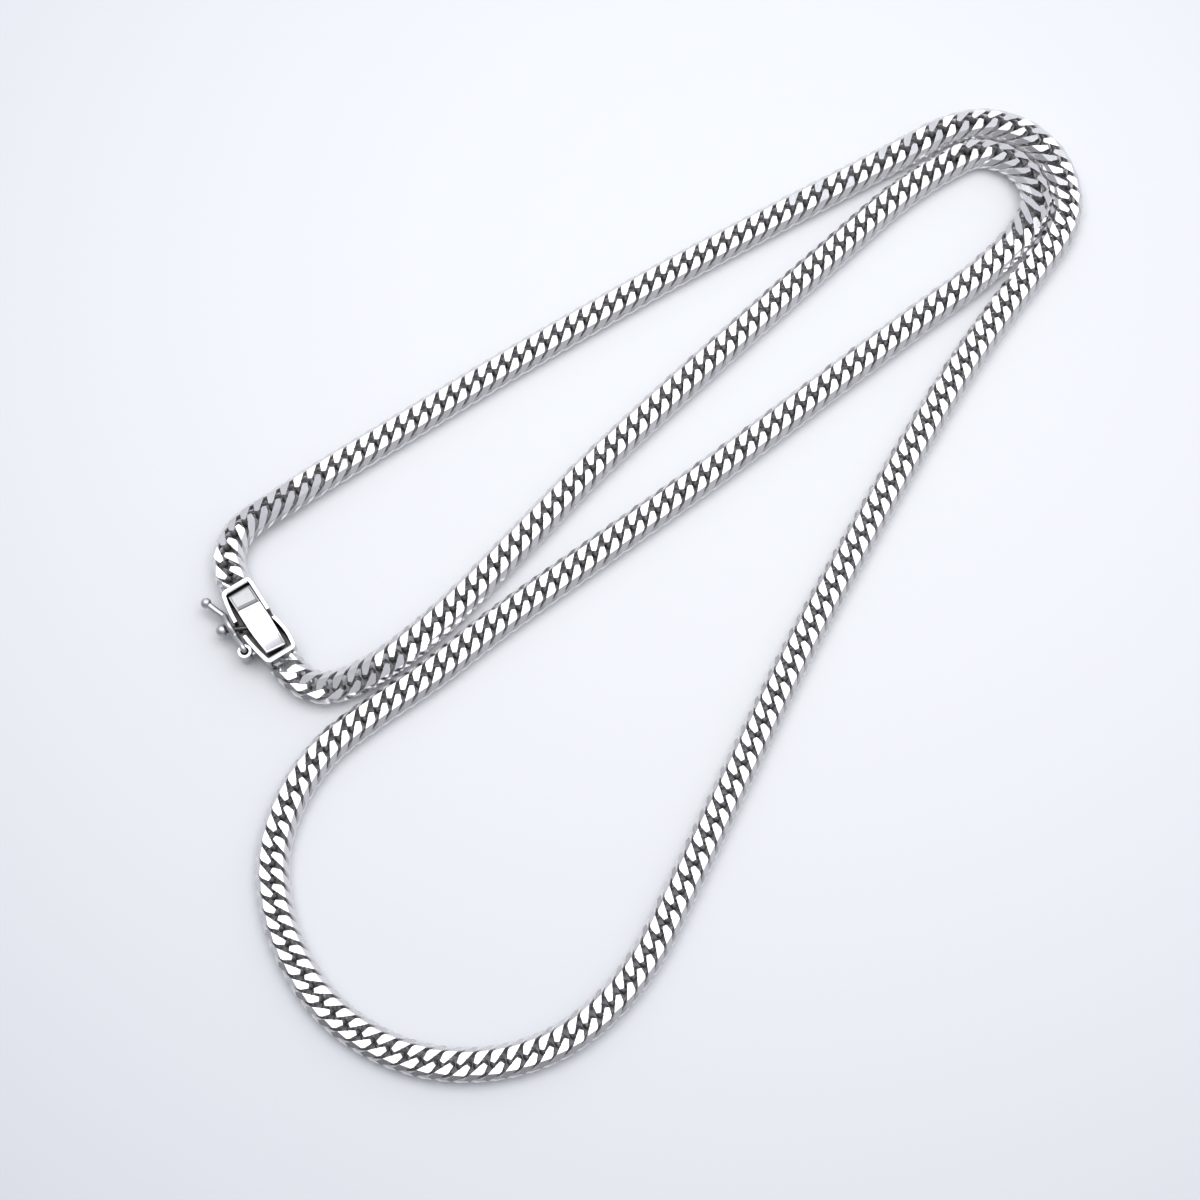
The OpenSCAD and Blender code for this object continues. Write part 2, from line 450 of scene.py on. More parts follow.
def move_selected(by: Spot) -> None:
    """Moves what is selected, and leaves edit mode."""
    bpy.ops.transform.translate(value=by)
    leave_edit()


def scale_selected(by: Spot, middle: Spot) -> None:
    """Scales what is selected about a place, and leaves edit mode."""
    bpy.ops.transform.resize(value=by, center_override=middle)
    leave_edit()


def cut_across(point: Spot, normal: Spot) -> None:
    """Adds a line of edges where a plane crosses the mesh in edit mode."""
    bpy.ops.mesh.select_all(action="SELECT")
    bpy.ops.mesh.bisect(plane_co=point, plane_no=normal, threshold=WELD_GAP)


def cut_off(point: Sequence[float], normal: Sequence[float]) -> None:
    """Cuts off what lies past a plane from the mesh in edit mode, and closes the cut."""
    bpy.ops.mesh.select_all(action="SELECT")
    bpy.ops.mesh.bisect(
        plane_co=point, plane_no=normal, use_fill=True, clear_outer=True, threshold=CUT_GAP
    )


def add_box(along: Pair, across: Pair, up: Pair) -> Piece:
    """Adds a block between limits along each axis.

    Args:
        along: Limits along X.
        across: Limits along Y.
        up: Limits along Z.

    Returns:
        The block, alone selected.
    """
    start_clean()
    spans = (along, across, up)
    bpy.ops.mesh.primitive_cube_add(
        size=1,
        location=[(low + high) / 2 for low, high in spans],
        scale=[high - low for low, high in spans],
    )
    return settle()


def add_rod(start: Vector, end: Vector, radius: float, sides: int = 32) -> Piece:
    """Adds a round rod between two points.

    Args:
        start: Middle of one end.
        end: Middle of the other end.
        radius: Radius of the rod.
        sides: Number of its sides.

    Returns:
        The rod, alone selected.
    """
    start_clean()
    run = end - start
    bpy.ops.mesh.primitive_cylinder_add(
        vertices=sides,
        radius=radius,
        depth=run.length,
        location=(start + end) / 2,
        rotation=run.to_track_quat("Z", "Y").to_euler(),
    )
    return settle()


def add_ball(middle: Sequence[float], radius: float, turn: Sequence[float] = (0, 0, 0)) -> Piece:
    """Adds a smooth ball.

    Args:
        middle: Where its middle is.
        radius: Radius of the ball.
        turn: How its poles are turned.

    Returns:
        The ball, alone selected.
    """
    start_clean()
    bpy.ops.mesh.primitive_uv_sphere_add(
        segments=24, ring_count=16, radius=radius, location=middle, rotation=turn
    )
    ball = settle()
    bpy.ops.object.shade_smooth()
    return ball


def bend_wire(points: Sequence[Spot], radius: float) -> Piece:
    """Bends a round wire through points.

    Args:
        points: Points of its middle line.
        radius: Radius of the wire.

    Returns:
        The wire as a closed mesh.
    """
    start_clean()
    bpy.ops.curve.primitive_nurbs_path_add(location=(0, 0, 0))
    curve = bpy.context.object
    curve.data.splines.clear()
    line = curve.data.splines.new("NURBS")
    line.points.add(len(points) - 1)
    for target, point in zip(line.points, points):
        target.co = (*point, 1.0)
    line.order_u = 4
    line.use_endpoint_u = True
    line.resolution_u = 5
    curve.data.dimensions = "3D"
    curve.data.bevel_depth = radius
    curve.data.bevel_resolution = 3
    curve.data.use_fill_caps = True
    bpy.ops.object.convert(target="MESH")
    wire = bpy.context.object
    edit_all()
    bpy.ops.mesh.remove_doubles(threshold=WELD_GAP)
    bpy.ops.mesh.normals_make_consistent(inside=False)
    leave_edit()
    bpy.ops.object.shade_smooth_by_angle(angle=math.radians(50))
    return wire


def combine(piece: Piece, other: Piece, how: Merge) -> None:
    """Cuts another form from a piece or fuses it on, and removes the other form.

    Args:
        piece: The piece that is kept.
        other: The other form.
        how: What is done with the other form.
    """
    make_active(piece)
    step = piece.modifiers.new("combine", "BOOLEAN")
    step.operation = how.value
    step.solver = "EXACT"
    step.object = other
    bpy.ops.object.modifier_apply(modifier=step.name)
    bpy.data.objects.remove(other)


def soften_edges(piece: Piece, radius: float) -> None:
    """Rounds every sharp edge of a piece and shades it smooth.

    Args:
        piece: The piece.
        radius: Width of the rounding.
    """
    make_active(piece)
    edit_all()
    bpy.ops.mesh.remove_doubles(threshold=WELD_GAP)
    bpy.ops.mesh.dissolve_limited(angle_limit=math.radians(0.5))
    leave_edit()
    step = piece.modifiers.new("soften", "BEVEL")
    step.width = radius
    step.segments = 3
    step.limit_method = "ANGLE"
    step.angle_limit = math.radians(38)
    bpy.ops.object.modifier_apply(modifier=step.name)
    even_shading(piece, 40)


def even_shading(piece: Piece, angle: float) -> None:
    """Shades a piece smooth except over sharp edges, with the large faces kept flat.

    Args:
        piece: The piece.
        angle: Edges sharper than this stay sharp, in degrees.
    """
    make_active(piece)
    bpy.ops.object.shade_smooth_by_angle(angle=math.radians(angle))
    step = piece.modifiers.new("even_shade", "WEIGHTED_NORMAL")
    step.keep_sharp = True
    bpy.ops.object.modifier_apply(modifier=step.name)


def mark_rise(piece: Piece) -> None:
    """Stores at each face corner how far it looks up, from -1 to 1, for the metals' painted side tone.
    """
    rise = piece.data.attributes.new("rise", "FLOAT", "CORNER")
    for value, facing in zip(rise.data, piece.data.corner_normals):
        value.value = facing.vector.z


def give_finishes(piece: Piece, finishes: Sequence[GroundMetal | PaintedShadeWireMetal]) -> None:
    """Gives a piece its material slots.

    Args:
        piece: The piece.
        finishes: The finish of each slot.
    """
    piece.data.materials.clear()
    for finish in finishes:
        piece.data.materials.append(bpy.data.materials.get(finish.name) or finish.make())


def join_pieces(name: str, pieces: Sequence[Piece]) -> Piece:
    """Joins pieces into one mesh.

    Args:
        name: Name of the joined piece.
        pieces: The pieces, each with its own mesh.

    Returns:
        The joined piece.
    """
    start_clean()
    for piece in pieces:
        piece.select_set(True)
    bpy.context.view_layer.objects.active = pieces[0]
    bpy.ops.object.join()
    joined = bpy.context.object
    joined.name = name
    joined.data.name = name
    return joined


# The chain


@dataclass
class CurbLink:
    """One twisted oval link, ground on all sides. Sizes are in millimetres.

    The wire's middle line is an oval with finer waves that blunt its ends, straighten its
    sides and hasten its twist. A recess of `deepest` is wholly dark.
    """

    half_length: float = 2.22
    end_flat: float = -0.127
    half_width: float = 1.29
    side_swell: float = -0.173
    twist_rise: float = 0.99
    twist_sharp: float = -0.042
    wire_r: float = 0.41
    rings: int = 16
    wire_sides: int = 6
    chain_w: float = 3.5
    chain_t: float = 1.85
    flat_w: float = 2.3
    ridge_t: float = 0.7
    deepest: float = 0.777

    def centre(self, turn: float) -> Vector:
        """A point of the wire's centre line.

        Args:
            turn: Angle round the link, in radians.

        Returns:
            The point, with the chain's travel along +X.
        """
        return Vector(
            (
                self.half_length * math.cos(turn) + self.end_flat * math.cos(3 * turn),
                self.half_width * math.sin(turn) + self.side_swell * math.sin(3 * turn),
                -self.twist_rise * math.sin(2 * turn) + self.twist_sharp * math.sin(4 * turn),
            )
        )

    def ground_planes(self) -> list[tuple[Vector, Vector]]:
        """Lists the planes of the two flats, the four bevels and the two ridges.

        Returns:
            A point and the outward normal of each plane.
        """
        top = self.chain_t / 2
        run = (self.chain_w - self.flat_w) / 2
        drop = top - self.ridge_t / 2
        planes = []
        for up in (1, -1):
            planes.append((Vector((0, 0, up * top)), Vector((0, 0, up))))
            for side in (1, -1):
                edge = Vector((0, side * self.flat_w / 2, up * top))
                planes.append((edge, Vector((0, side * drop, up * run)).normalized()))
        for side in (1, -1):
            planes.append((Vector((0, side * self.chain_w / 2, 0)), Vector((0, side, 0))))
        return planes

    def build(self) -> Piece:
        """Models the link from rings of wire, bridged and then ground.

        Returns:
            The link, with its wire in slot 0 and its ground facets in slot 1.
        """
        start_clean()
        nudge = 0.01
        for i in range(self.rings):
            turn = 2 * math.pi * i / self.rings
            ahead = (self.centre(turn + nudge) - self.centre(turn - nudge)).normalized()
            out = Vector((math.cos(turn) / self.half_length, math.sin(turn) / self.half_width, 0))
            out = (out - ahead * out.dot(ahead)).normalized()
            pose = Matrix((out.cross(ahead), out, ahead)).transposed()
            bpy.ops.mesh.primitive_circle_add(
                vertices=self.wire_sides,
                radius=self.wire_r,
                fill_type="NOTHING",
                location=self.centre(turn),
                rotation=pose.to_euler(),
            )
            if i == 0:
                link = settle()
                bpy.ops.object.mode_set(mode="EDIT")
        bpy.ops.mesh.select_mode(type="EDGE")
        bpy.ops.mesh.select_all(action="SELECT")
        bpy.ops.mesh.bridge_edge_loops(type="CLOSED", use_merge=False)
        bpy.ops.mesh.select_all(action="SELECT")
        bpy.ops.mesh.normals_make_consistent(inside=False)
        for point, normal in self.ground_planes():
            cut_off(point, normal)
        leave_edit()
        self.dress(link)
        return link

    def dress(self, link: Piece) -> None:
        """Gives the link its finishes, sharp facet edges, and the depth and facing values that its
        painted light and shade are drawn from.

        Args:
            link: The ground link.
        """
        give_finishes(link, (WIRE, FACET))
        edit_all()
        bpy.ops.mesh.faces_shade_smooth()
        link.active_material_index = 1
        for point, normal in self.ground_planes():
            select_faces(
                link,
                lambda middle, facing, point=point, normal=normal: facing.dot(normal) > 0.999
                and abs((middle - point).dot(normal)) < NEAR,
            )
            bpy.ops.object.material_slot_assign()
            bpy.ops.mesh.region_to_loop()
            bpy.ops.mesh.mark_sharp()
        leave_edit()
        # The depth below the ground planes sets how much painted shade the wire gets.
        depth = link.data.attributes.new("recess", "FLOAT", "POINT")
        for vertex, value in zip(link.data.vertices, depth.data):
            inset = min((point - vertex.co).dot(normal) for point, normal in self.ground_planes())
            value.value = min(1.0, max(0.0, inset / self.deepest))
        mark_rise(link)


# The knots that each step of the route's rounding runs between, for its three rounds
KNOT_SPANS = (((0, 1), (1, 2), (2, 3)), ((0, 2), (1, 3)), ((1, 2),))


@dataclass
class ChainRun:
    """The whole chain as links along a smooth route. Sizes are in millimetres.

    The end links stand `sunk` past the route's ends and are cut off `bite` past them. A link
    takes its direction from the route `look` ahead and behind. It leans by the route's roll
    and a small wobble in degrees. `low_end` is the share of half a climbing link that rests.
    """

    link: CurbLink
    upper: list[Stop]
    lower: list[Stop]
    pitch: float = 1.675
    steps: int = 24
    sunk: Pair = (0.64, 0.12)
    bite: float = 0.44
    look: float = 0.6
    wobble: float = 2.5
    wobble_waves: Pair = (7.3, 1.9)
    low_end: float = 0.7
    stations: list[Vector] = field(default_factory=list)
    lengths: list[float] = field(default_factory=list)
    join_length: float = 0.0

    def trace(self) -> None:
        """Rounds the route through its stops and measures it."""
        stops = [Vector((*s, 0, 0)[:4]) for s in [*self.upper, *self.lower[1:]]]
        stops = [2 * stops[0] - stops[1], *stops, 2 * stops[-1] - stops[-2]]
        self.stations = []
        for i in range(1, len(stops) - 2):
            if i == len(self.upper):
                self.join_length = self._measure(self.stations + [stops[i]])[-1]
            for k in range(self.steps):
                self.stations.append(self._between(stops[i - 1 : i + 3], k / self.steps))
        self.stations.append(stops[-2])
        self.lengths = self._measure(self.stations)

    @staticmethod
    def _between(four: Sequence[Vector], share: float) -> Vector:
        """Rounds the route between the middle two of four stops.

        Args:
            four: The stops.
            share: How far on the point is from the second stop to the third.

        Returns:
            The point, as a stop.
        """
        knots = [0.0]
        for a, b in zip(four, four[1:]):
            knots.append(knots[-1] + math.sqrt((b.to_3d() - a.to_3d()).length))
        t = knots[1] + (knots[2] - knots[1]) * share
        rows = list(four)
        for spans in KNOT_SPANS:
            rows = [
                a.lerp(b, (t - knots[low]) / (knots[high] - knots[low]))
                for a, b, (low, high) in zip(rows, rows[1:], spans)
            ]
        return rows[0]

    @staticmethod
    def _measure(points: Sequence[Vector]) -> list[float]:
        """Measures a line of stops.

        Args:
            points: The stops.

        Returns:
            Length from the first stop to each.
        """
        run = [0.0]
        for a, b in zip(points, points[1:]):
            run.append(run[-1] + (b.to_3d() - a.to_3d()).length)
        return run

    def at(self, length: float) -> Vector:
        """Finds a place on the route.

        Args:
            length: Length from the start of the chain.

        Returns:
            The place, as a stop.
        """
        low, high = 0, len(self.lengths) - 1
        while high - low > 1:
            middle = (low + high) // 2
            low, high = (middle, high) if self.lengths[middle] <= length else (low, middle)
        span = self.lengths[high] - self.lengths[low]
        return self.stations[low].lerp(self.stations[high], (length - self.lengths[low]) / span)

    def _rest(self, roll: float, climb: float) -> float:
        """Height of a leaning link's middle when its lowest part rests on the surface."""
        flat = self.link.flat_w / 2 * abs(math.sin(roll)) + self.link.chain_t / 2 * math.cos(roll)
        return flat + self.low_end * self.link.half_length * abs(climb)

    def pose(self, length: float) -> Matrix:
        """Where a link stands.

        Args:
            length: Length from the start of the chain.

        Returns:
            The matrix that takes a link from its own place to the chain.
        """
        stop = self.at(length)
        before, after = (self.at(length + way * self.look).to_3d() for way in (-1, 1))
        ahead = (after - before).normalized()
        right = ahead.cross(Vector((0, 0, 1))).normalized()
        up = right.cross(ahead)
        quick, slow = (math.sin(wave * length) for wave in self.wobble_waves)
        roll = math.radians(stop[3] + self.wobble * quick * slow)
        side = right * math.cos(roll) - up * math.sin(roll)
        top = right * math.sin(roll) + up * math.cos(roll)
        turn = Matrix((ahead, -side, top)).transposed().to_4x4()
        lift = max(self.link.chain_t / 2 + stop[2], self._rest(roll, ahead.z))
        middle = Vector((stop[0], stop[1], lift))
        return Matrix.Translation(middle) @ turn

    def build(self) -> list[Piece]:
        """Lays out the links and joins them into the chain's two halves.

        Returns:
            The upper and the lower half.
        """
        self.trace()
        first, last = -self.sunk[0], self.lengths[-1] + self.sunk[1]
        count = round((last - first) / self.pitch) + 1
        step = (last - first) / (count - 1)
        LOG.info("chain of %.1f mm with %d links, %.3f mm apart", self.lengths[-1], count, step)
        pattern = self.link.build()
        halves: tuple[list[Piece], list[Piece]] = ([], [])
        scale = Matrix.Scale(MM, 4)
        for i in range(count):
            length = first + i * step
            copy = put_in_scene("link", pattern.data.copy())
            for keep, edge in ((1, -self.bite), (-1, self.lengths[-1] + self.bite)):
                if keep * (length - edge) < self.link.half_length + self.link.wire_r:
                    make_active(copy)
                    bpy.ops.object.mode_set(mode="EDIT")
                    cut_off((edge - length, 0, 0), (-keep, 0, 0))
                    leave_edit()
            copy.data.transform(scale @ self.pose(length))
            halves[length > self.join_length].append(copy)
        bpy.data.objects.remove(pattern)
        made = []
        for node, links in zip(("chain_upper", "chain_lower"), halves):
            piece = join_pieces(f"{node}_links", links)
            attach(piece, Body.NECKLACE.value)
            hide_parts(node)
            made.append(piece)
        return made


# Stops of the chain's middle line as x, y and lift in millimetres and roll in degrees. Most
# have neither. The two lists share one stop.
UPPER_ROUTE: list[Stop] = [
    (-2.85, 4.4, 0.475, 0), (-3.5, 6.2, 0.475, -4), (-3.5, 8.3, 0.475, -8),
    (-2.6, 10.3, 0.45, -11), (-0.9, 12, 0.4, -12), (1.5, 13.7, 0.28, -11), (6, 16.9, 0.11, -5),
    (15, 22.9), (25, 29.5), (35, 35.8), (45, 41.9), (55, 47.7), (64, 52.8), (71, 56.8),
    (75, 59), (79.5, 60), (83.4, 58.9), (86.2, 56.4), (87.8, 53), (88.1, 49.5), (87.1, 46.2),
    (84.5, 42.3), (80.5, 37), (75.5, 29.9), (69.5, 20.1), (63, 8.8), (57, -2.1), (50.5, -15.2),
    (44, -28.5),
]
LOWER_ROUTE: list[Stop] = [
    (44, -28.5), (40.5, -35.2), (36.5, -40.2), (31.5, -43.9), (25.5, -45.8), (19.5, -45.8),
    (14, -44.1), (9, -40.7), (5.4, -36), (3.1, -30.5), (2.5, -24.5), (4.1, -18.7), (7.4, -13.7),
    (12, -9.8), (18, -5.5), (25, 0.2), (36, 8.5), (49, 18.3), (62, 28.6), (71.5, 36),
    (77.5, 40.6), (81, 43.9, 0.13, 6), (83.3, 46.8, 0.34, 18), (84.6, 49.7, 0.37, 20),
    (84, 52.7, 0.28, 14), (81.9, 55.1, 0.13, 6), (78.4, 56.1), (75, 54.6), (69.5, 50.8),
    (61, 43), (52, 34.5), (43, 25.9), (35, 17.9), (27, 9.1), (21, 2.6, 0.05, -2),
    (16.5, -1.7, 0.2, -9), (12.8, -4.6, 0.35, -18), (9.5, -6.4, 0.42, -22), (7, -7, 0.45, -14),
    (4.8, -6.3, 0.475, -4), (2.85, -4.4, 0.475, 0),
]


# The clasp


class ClaspPiece:
    """A piece of the clasp. Its own axes are along the clasp, to its left and up.

    It is modelled in millimetres and then taken to its place on the necklace.
    """

    turn = 123.0
    finishes: tuple[GroundMetal, ...] = (CLASP_METAL,)

    def shape(self) -> Piece:
        """Models the piece in the clasp's own millimetres."""
        raise NotImplementedError

    def finish_at(self, middle: Vector) -> int:
        """Picks the number of a face's finish by the face's middle."""
        return 0

    def build(self) -> Piece:
        """Models the piece, gives it its finishes and takes it to its place.

        Returns:
            The finished piece.
        """
        piece = self.shape()
        give_finishes(piece, self.finishes)
        for face in piece.data.polygons:
            face.material_index = self.finish_at(face.center)
        mark_rise(piece)
        turn = Matrix.Rotation(math.radians(self.turn), 4, "Z")
        piece.data.transform(Matrix.Scale(MM, 4) @ turn)
        return piece


@dataclass
class SolderWedge:
    """The wedge of solder that an end of the chain is fixed to."""

    root: float
    end: float
    half_width: float = 1.2
    height: Pair = (0.6, 1.75)
    taper: Spot = (1, 0.76, 0.7)
    middle_z: float = 1.2

    def build(self) -> Piece:
        """Models the wedge, narrower at its end.

        Returns:
            The wedge.
        """
        along = (min(self.root, self.end), max(self.root, self.end))
        wedge = add_box(along, (-self.half_width, self.half_width), self.height)
        select_faces(wedge, lambda middle, facing: abs(middle.x - self.end) < NEAR)
        scale_selected(self.taper, (self.end, 0, self.middle_z))
        return wedge


@dataclass
class BoxShell(ClaspPiece):
    """The open box with its bowed walls, notches, hinge tube and end wedge.

    An edge is a list of (along, out from the middle) pairs. A notch is cut between limits
    along, across and up.
    """

    length: float = 9.6
    height: float = 2.8
    end_half: float = 1.8
    corner_r: float = 0.5
    left_edge: tuple[Pair, ...] = (
        (-4.8, 1.62), (-4.4, 1.73), (-3.3, 1.99), (-2.6, 2.13), (-1.8, 2.26), (-0.8, 2.36),
        (0.2, 2.38), (1.0, 2.37), (2.15, 2.3), (3.3, 2.14), (4.25, 1.96), (4.8, 1.83),
    )
    right_edge: tuple[Pair, ...] = (
        (-4.8, 1.86), (-4.4, 1.95), (-3.3, 2.08), (-2.5, 2.09), (-1.8, 2.02), (-1.2, 1.9),
        (-0.5, 1.75), (0.5, 1.69), (2.6, 1.7), (3.9, 1.7), (4.8, 1.66),
    )
    stations: int = 15
    station_step: float = 0.56
    lean: float = 0.16
    rim: float = 0.46
    floor: float = 0.4
    edge_r: float = 0.08
    lip: tuple[Pair, ...] = ((0.04, 0.016), (0.028, 0.04))
    hollow_taper: float = 0.975
    # Limits of the painted shade in the hollow: how far along it reaches, its margin in from the walls
    # and up from the bottom, and its drop below the top.
    painted_shade_end: float = 4.55
    painted_shade_from: float = 0.2
    painted_shade_drop: float = 0.15
    button_notch: Block = ((-0.75, 1.05), (1.3, 2.9), (1.1, 3.6))
    far_notch: Block = ((-0.52, 0.48), (-2.4, -1.1), (1.1, 3.6))
    slot_plan: tuple[Pair, Pair] = ((-5.4, -4.1), (-1.3, 1.3))
    slot_top: float = 2.05
    wedge: Pair = (4.6, 5.15)
    hinge: Pair = (-2.1, 2.94)
    tube_r: float = 0.715
    tube_z: Pair = (0.66, 2.44)
    bore_r: float = 0.46
    bore_z: Pair = (-0.5, 3.5)
    web_half: float = 0.4
    web_z: Pair = (0.9, 1.6)
    web_overlap: Pair = (0.3, 0.2)
    web_spread: float = 1.5
    finishes = (CLASP_METAL, CLASP_PAINTED_SHADE)

    def shape(self) -> Piece:
        """Models the shell.

        Returns:
            The shell.
        """
        shell = self._block()
        self._bow(shell)
        self._hollow(shell)
        slot = (*self.slot_plan, (self.floor, self.slot_top))
        for notch in (self.button_notch, self.far_notch, slot):
            combine(shell, add_box(*notch), Merge.CUT)
        combine(shell, SolderWedge(*self.wedge).build(), Merge.FUSE)
        combine(shell, self._web(), Merge.FUSE)
        combine(shell, self._hinge_rod(self.tube_r, self.tube_z), Merge.FUSE)
        combine(shell, self._hinge_rod(self.bore_r, self.bore_z), Merge.CUT)
        soften_edges(shell, self.edge_r)
        return shell

    def _block(self) -> Piece:
        """Models the starting block, with round upright corners and cuts along its length.

        Returns:
            The block.
        """
        along, across = ((-half, half) for half in (self.length / 2, self.end_half))
        block = add_box(along, across, (0, self.height))
        points = block.data.vertices
        select_parts(
            block, MeshPart.EDGE, lambda edge: len({points[i].co.z for i in edge.vertices}) > 1
        )
        bpy.ops.mesh.bevel(offset=self.corner_r, segments=6, affect="EDGES")
        for i in range(self.stations):
            place = (i - self.stations // 2) * self.station_step
            cut_across((place, 0, 0), (1, 0, 0))
        cut_across((0, 0, self.height / 2), (0, 0, 1))
        leave_edit()
        return block

    def _bow(self, shell: Piece) -> None:
        """Bows the two long walls and leans them in towards the underside.

        Args:
            shell: The block.
        """
        stations = sorted({round(v.co.x, 4) for v in shell.data.vertices})
        for station in stations:
            for side, edge in ((1, self.left_edge), (-1, self.right_edge)):
                reach = self._reach(edge, station)
                select_points(
                    shell, lambda p, x=station, s=side: abs(p.x - x) < NEAR and p.y * s > NEAR
                )
                scale_selected((1, reach / self.end_half, 1), (0, 0, 0))
        for side in (1, -1):
            select_points(shell, lambda p, s=side: abs(p.z) < NEAR and p.y * s > NEAR)
            move_selected((0, -side * self.lean, 0))

    @staticmethod
    def _reach(edge: Sequence[Pair], along: float) -> float:
        """Finds how far out an edge lies.

        Args:
            edge: The edge.
            along: The place along the clasp.

        Returns:
            How far out it lies there.
        """
        for (low, first), (high, last) in zip(edge, edge[1:]):
            if along <= high:
                return first + (last - first) * (along - low) / (high - low)
        return edge[-1][1]

    def _hollow(self, shell: Piece) -> None:
        """Sinks the hollow into the top and leaves the rim.

        Args:
            shell: The bowed block.
        """
        select_faces(shell, lambda middle, facing: facing.z > 0.9)
        bpy.ops.mesh.region_to_loop()
        bpy.ops.mesh.bevel(offset=self.edge_r, segments=3, affect="EDGES")
        top = self.height - NEAR
        select_faces(shell, lambda middle, facing: facing.z > 0.99 and middle.z > top)
        bpy.ops.mesh.inset(thickness=self.rim - 2 * self.edge_r, use_even_offset=True)
        for across, down in self.lip:
            bpy.ops.mesh.inset(thickness=across, depth=-down, use_even_offset=True)
        bpy.ops.transform.resize(value=(self.hollow_taper, 1, 1), center_override=(0, 0, 0))
        bpy.ops.mesh.extrude_region_move(
            TRANSFORM_OT_translate={"value": (0, 0, self.floor - self.height)}
        )
        leave_edit()

    def _web(self) -> Piece:
        """Models the solder that carries the hinge tube, wider at the wall.

        Returns:
            The solder.
        """
        x, y = self.hinge
        wall = self._reach(self.left_edge, x)
        across = (wall - self.web_overlap[0], y - self.web_overlap[1])
        web = add_box((x - self.web_half, x + self.web_half), across, self.web_z)
        select_faces(web, lambda middle, facing: facing.y < -0.9)
        scale_selected((self.web_spread, 1, 1), (x, wall, 0))
        return web

    def _hinge_rod(self, radius: float, heights: Pair) -> Piece:
        """A rod on the hinge's axis, for the tube and its bore."""
        low, high = (Vector((*self.hinge, z)) for z in heights)
        return add_rod(low, high, radius)

    def finish_at(self, middle: Vector) -> int:
        """Picks the painted shade for the faces that line the hollow.

        Args:
            middle: The face's middle.

        Returns:
            The finish's number.
        """
        skin = self.painted_shade_from
        left, right = (self._reach(edge, middle.x) for edge in (self.left_edge, self.right_edge))
        in_painted_shade = skin - right < middle.y < left - skin and abs(middle.x) < self.painted_shade_end
        return int(in_painted_shade and skin < middle.z < self.height - self.painted_shade_drop)


